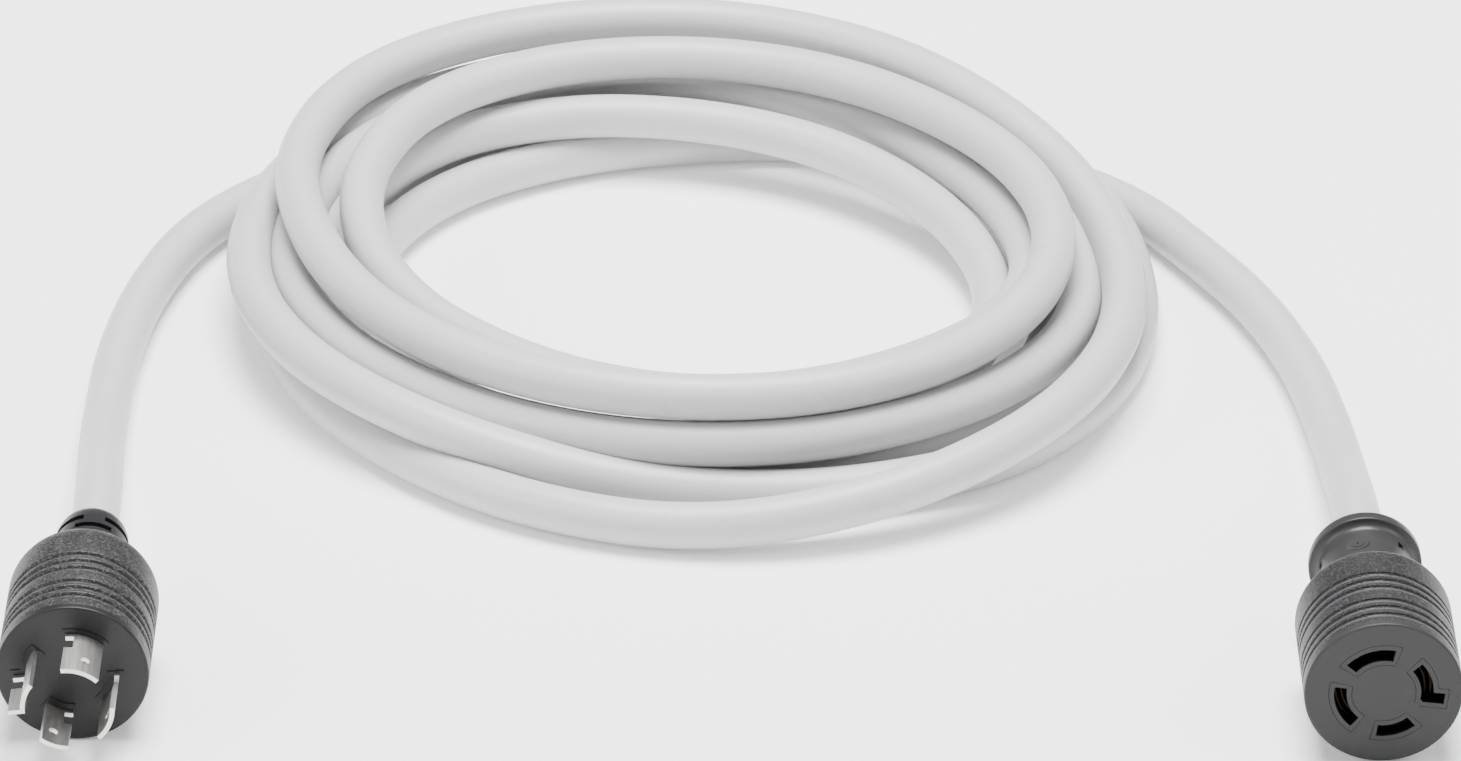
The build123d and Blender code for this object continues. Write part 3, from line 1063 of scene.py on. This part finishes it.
@dataclass
class Plug:
    """The locking plug: its face's middle in metres, and its shape in millimetres and degrees."""

    face: Point = (-0.231, -0.240, 0.027)
    radius: float = 27.0
    bore: float = 21.1
    front: float = 3.0
    rim_rounding: float = 0.3
    back: float = 67.5
    shoulder: float = 15.5
    bore_end: float = 52.1
    back_bore: float = 11.4
    grooves: tuple[float, ...] = (9.7, 14.6, 19.5, 28.6, 33.5, 38.4)
    relief_front: float = 66.0
    relief_back: float = 98.0
    relief_bore: float = 9.5
    relief_radius: float = 14.2
    taper_from: float = 80.0
    taper: float = 0.06
    slot_rows: tuple[Station, ...] = ((76.2, 37.0), (82.4, 82.0), (88.6, 37.0))
    slot_half_width: float = 1.6
    slot_half_angle: float = 28.0
    slot_floor: float = 10.4
    slots_per_row: int = 4
    grain_dark: Colour = (0.001, 0.001, 0.0012)
    # The colour that the painted highlights on the grain's tips and the grooves' lips, the dust and the seam
    # go towards.
    grain_light: Colour = (0.075, 0.075, 0.078)
    face_dark: Colour = (0.006, 0.006, 0.0065)
    face_light: Colour = (0.011, 0.011, 0.012)

    def slots(self) -> tuple[Pocket, ...]:
        """The strain relief's staggered slots.

        Returns:
            The slots, row by row.
        """
        found = []
        for depth, angle in self.slot_rows:
            for turn in range(self.slots_per_row):
                middle = angle + FULL_CIRCLE * turn / self.slots_per_row
                depths = (depth - self.slot_half_width, depth + self.slot_half_width)
                angles = (middle - self.slot_half_angle, middle + self.slot_half_angle)
                found.append(Pocket(*depths, *angles, self.slot_floor))
        return tuple(found)

    def make_body(self) -> None:
        """Makes the grained body, with its finger grooves and round shoulder."""
        # 0.5 is how bright the grain's tips are painted, as a painted highlight.
        finish = GrainedMoulding(
            "plug_grain", self.face, self.grooves, self.grain_dark, self.grain_light, 0.5
        )
        side = [corner for depth in self.grooves for corner in Groove().corners(self.radius, depth)]
        corners = (
            (self.front, self.bore, 0.0),
            (self.front, self.radius, self.rim_rounding),
            *side,
            (self.back, self.radius, self.shoulder),
            (self.back, self.back_bore, 0.0),
            (self.bore_end, self.back_bore, 0.0),
            (self.bore_end, self.bore, 0.0),
        )
        body = Turned("plug_grained_body", corners).build(self.face, finish.make(), Rides.PLUG)
        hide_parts("plug_body")

    def make_relief(self, finish: bpy.types.Material) -> None:
        """Makes the slotted strain relief.

        Args:
            finish: Its material.
        """
        edges = []
        for depth, _ in self.slot_rows:
            for edge in (depth - self.slot_half_width, depth + self.slot_half_width):
                narrowing = max(0.0, edge - self.taper_from) * self.taper
                edges.append((edge, self.relief_radius - narrowing, 0.0))
        corners = (
            (self.relief_front, self.relief_bore, 0.0),
            (self.relief_front, 13.4, 0.0),
            *edges,
            (94.0, 13.2, 0.0),
            (self.relief_back, 12.2, 1.6),
            (self.relief_back, self.relief_bore, 0.0),
        )
        relief = Turned("plug_relief", corners, self.slots()).build(self.face, finish, Rides.PLUG)
        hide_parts("plug_strain_relief")

    def build(self, nodes: Nodes, finishes: Finishes) -> None:
        """Makes the body and the strain relief, and dresses the face and the blades.

        Args:
            nodes: The frame's nodes by name.
            finishes: The finishes that pieces share.
        """
        self.make_body()
        self.make_relief(finishes["smooth_moulding"])
        face = SmoothMoulding("plug_face_moulding", self.face_dark, self.face_light, 0.44)
        dress(nodes, ["plug_face"], face.make())
        dress(nodes, [f"{name}_blade" for name in CONDUCTORS], finishes["plated_brass"])


@dataclass
class Connector:
    """The locking connector: its face's middle in metres, and its shape in millimetres and degrees."""

    face: Point = (0.230, -0.255, 0.028)
    grooves: tuple[float, ...] = (7.5, 12.5, 17.5, 26.3, 31.0, 35.7)
    neck: tuple[Point, ...] = (
        (57.0, 9.5, 0.0),
        (57.0, 18.4, 0.0),
        (68.0, 17.4, 0.0),
        (80.2, 17.2, 0.0),
        (83.8, 17.2, 0.0),
        (87.6, 17.2, 2.4),
        (88.4, 20.5, 0.5),
        (94.0, 20.5, 1.8),
        (94.0, 9.5, 0.0),
    )
    pin_angles: tuple[float, ...] = (46.0, 166.0, 286.0)
    pin_half_angle: float = 5.0
    pin_depths: tuple[float, float] = (80.2, 83.8)
    pin_floor: float = 14.0
    mark_discs: tuple[Station, ...] = ((4.2, 0.5), (2.6, 0.75), (0.6, 1.2))
    mark_edge: float = 0.3
    mark_segments: int = 40
    mark_reach: float = 17.0
    mark_depth: float = 76.0
    mark_angle: float = 104.0
    grain_dark: Colour = (0.004, 0.004, 0.0045)
    grain_light: Colour = (0.052, 0.052, 0.054)
    face_dark: Colour = (0.019, 0.019, 0.020)
    face_light: Colour = (0.023, 0.023, 0.024)

    def make_neck(self, finish: bpy.types.Material) -> None:
        """Makes the flared neck, with its small pin holes.

        Args:
            finish: The neck's material.
        """
        half = self.pin_half_angle
        holes = tuple(
            Pocket(*self.pin_depths, angle - half, angle + half, self.pin_floor) for angle in self.pin_angles
        )
        neck = Turned("connector_neck_flare", self.neck, holes).build(self.face, finish, Rides.CONNECTOR)
        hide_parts("connector_neck")

    def make_gate_mark(self, finish: bpy.types.Material) -> None:
        """Makes the round moulding mark on the neck: shallow discs with a nib in the middle.

        Args:
            finish: The neck's material.
        """
        shape = bmesh.new()
        for radius, height in self.mark_discs:
            bmesh.ops.create_cone(
                shape,
                cap_ends=True,
                segments=self.mark_segments,
                radius1=radius * MM,
                radius2=(radius - self.mark_edge) * MM,
                depth=2 * height * MM,
            )
        at = Matrix.Translation((self.mark_reach * MM, 0.0, -self.mark_depth * MM))
        turn = Matrix.Rotation(math.radians(self.mark_angle), 4, "Z")
        place = head_place(self.face) @ turn @ at @ Matrix.Rotation(math.pi / 2, 4, "Y")
        bmesh.ops.transform(shape, matrix=place, verts=shape.verts)
        mark = to_piece("connector_gate_mark", shape, finish)
        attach(mark, Rides.CONNECTOR.value)

    def build(self, nodes: Nodes, finishes: Finishes) -> None:
        """Makes the neck and its mark, and dresses the body, the face, the slots and the contacts.

        Args:
            nodes: The frame's nodes by name.
            finishes: The finishes that pieces share.
        """
        self.make_neck(finishes["neck_moulding"])
        self.make_gate_mark(finishes["neck_moulding"])
        # 0.45 is how bright the grain's tips are painted, as a painted highlight.
        grain = GrainedMoulding(
            "connector_grain", self.face, self.grooves, self.grain_dark, self.grain_light, 0.45
        )
        dress(nodes, ["connector_body"], grain.make())
        face = SmoothMoulding("connector_face_moulding", self.face_dark, self.face_light, 0.5)
        dress(nodes, ["connector_face"], face.make())
        # The sleeves and carriers get painted shade that deepens inside the slots.
        slotted = [f"{name}_sleeve" for name in CONDUCTORS]
        slotted += ["connector_contact_carrier", "connector_carrier_back"]
        dress(nodes, slotted, SlotMoulding("slot_moulding", self.face[1]).make())
        # The contacts are dressed in brass painted dark as painted shade.
        dress(nodes, [f"{name}_contact" for name in CONDUCTORS], finishes["contact_brass"])


@dataclass
class Insides:
    """What lies inside both heads: mouldings, cores, strands, fillers and the jacket's ends."""

    core_colours: tuple[tuple[str, Colour], ...] = (
        ("black", (0.02, 0.02, 0.022)),
        ("red", (0.50, 0.03, 0.025)),
        ("white", (0.75, 0.75, 0.72)),
        ("green", (0.03, 0.30, 0.09)),
    )

    def build(self, nodes: Nodes, finishes: Finishes) -> None:
        """Dresses the inner pieces of both heads.

        Args:
            nodes: The frame's nodes by name.
            finishes: The finishes that pieces share.
        """
        for colour, value in self.core_colours:
            insulation = Insulation(f"{colour}_insulation", value).make()
            dress(nodes, [f"{head}_{colour}_wire" for head in HEADS], insulation)
        for part, name in (
            ("inner_mould", "inner_moulding"),
            ("copper_strands", "copper"),
            ("filler_cords", "filler_paper"),
            ("jacket_end", "cable_jacket"),
        ):
            dress(nodes, [f"{head}_{part}" for head in HEADS], finishes[name])


def make_finishes() -> Finishes:
    """Builds the finishes that pieces share.

    Returns:
        The materials by name.
    """
    finishes = (
        CableJacket(),
        SmoothMoulding("smooth_moulding", (0.008, 0.008, 0.009), (0.014, 0.014, 0.015), 0.40),
        SmoothMoulding("neck_moulding", (0.018, 0.018, 0.019), (0.034, 0.034, 0.035), 0.38),
        SmoothMoulding("inner_moulding", (0.20, 0.20, 0.205), (0.28, 0.28, 0.285), 0.5),
        StampedMetal("plated_brass", (0.74, 0.73, 0.71), (0.46, 0.45, 0.43), 0.36),
        # The contacts' brass is painted almost black, as painted shade for contacts deep inside their slots.
        StampedMetal("contact_brass", (0.030, 0.021, 0.012), (0.018, 0.013, 0.008), 0.6),
        BareCopper(),
        PaperFiller(),
    )
    return {finish.name: finish.make() for finish in finishes}


def main() -> None:
    """Builds and dresses the whole cord in its studio."""
    logging.basicConfig(level=logging.INFO, format="%(message)s")
    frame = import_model()
    nodes = frame["nodes"]
    Studio().build()
    finishes = make_finishes()
    Cable().build(CableRoute().path(), finishes["cable_jacket"])
    Plug().build(nodes, finishes)
    Connector().build(nodes, finishes)
    Insides().build(nodes, finishes)


if __name__ == "__main__":
    main()
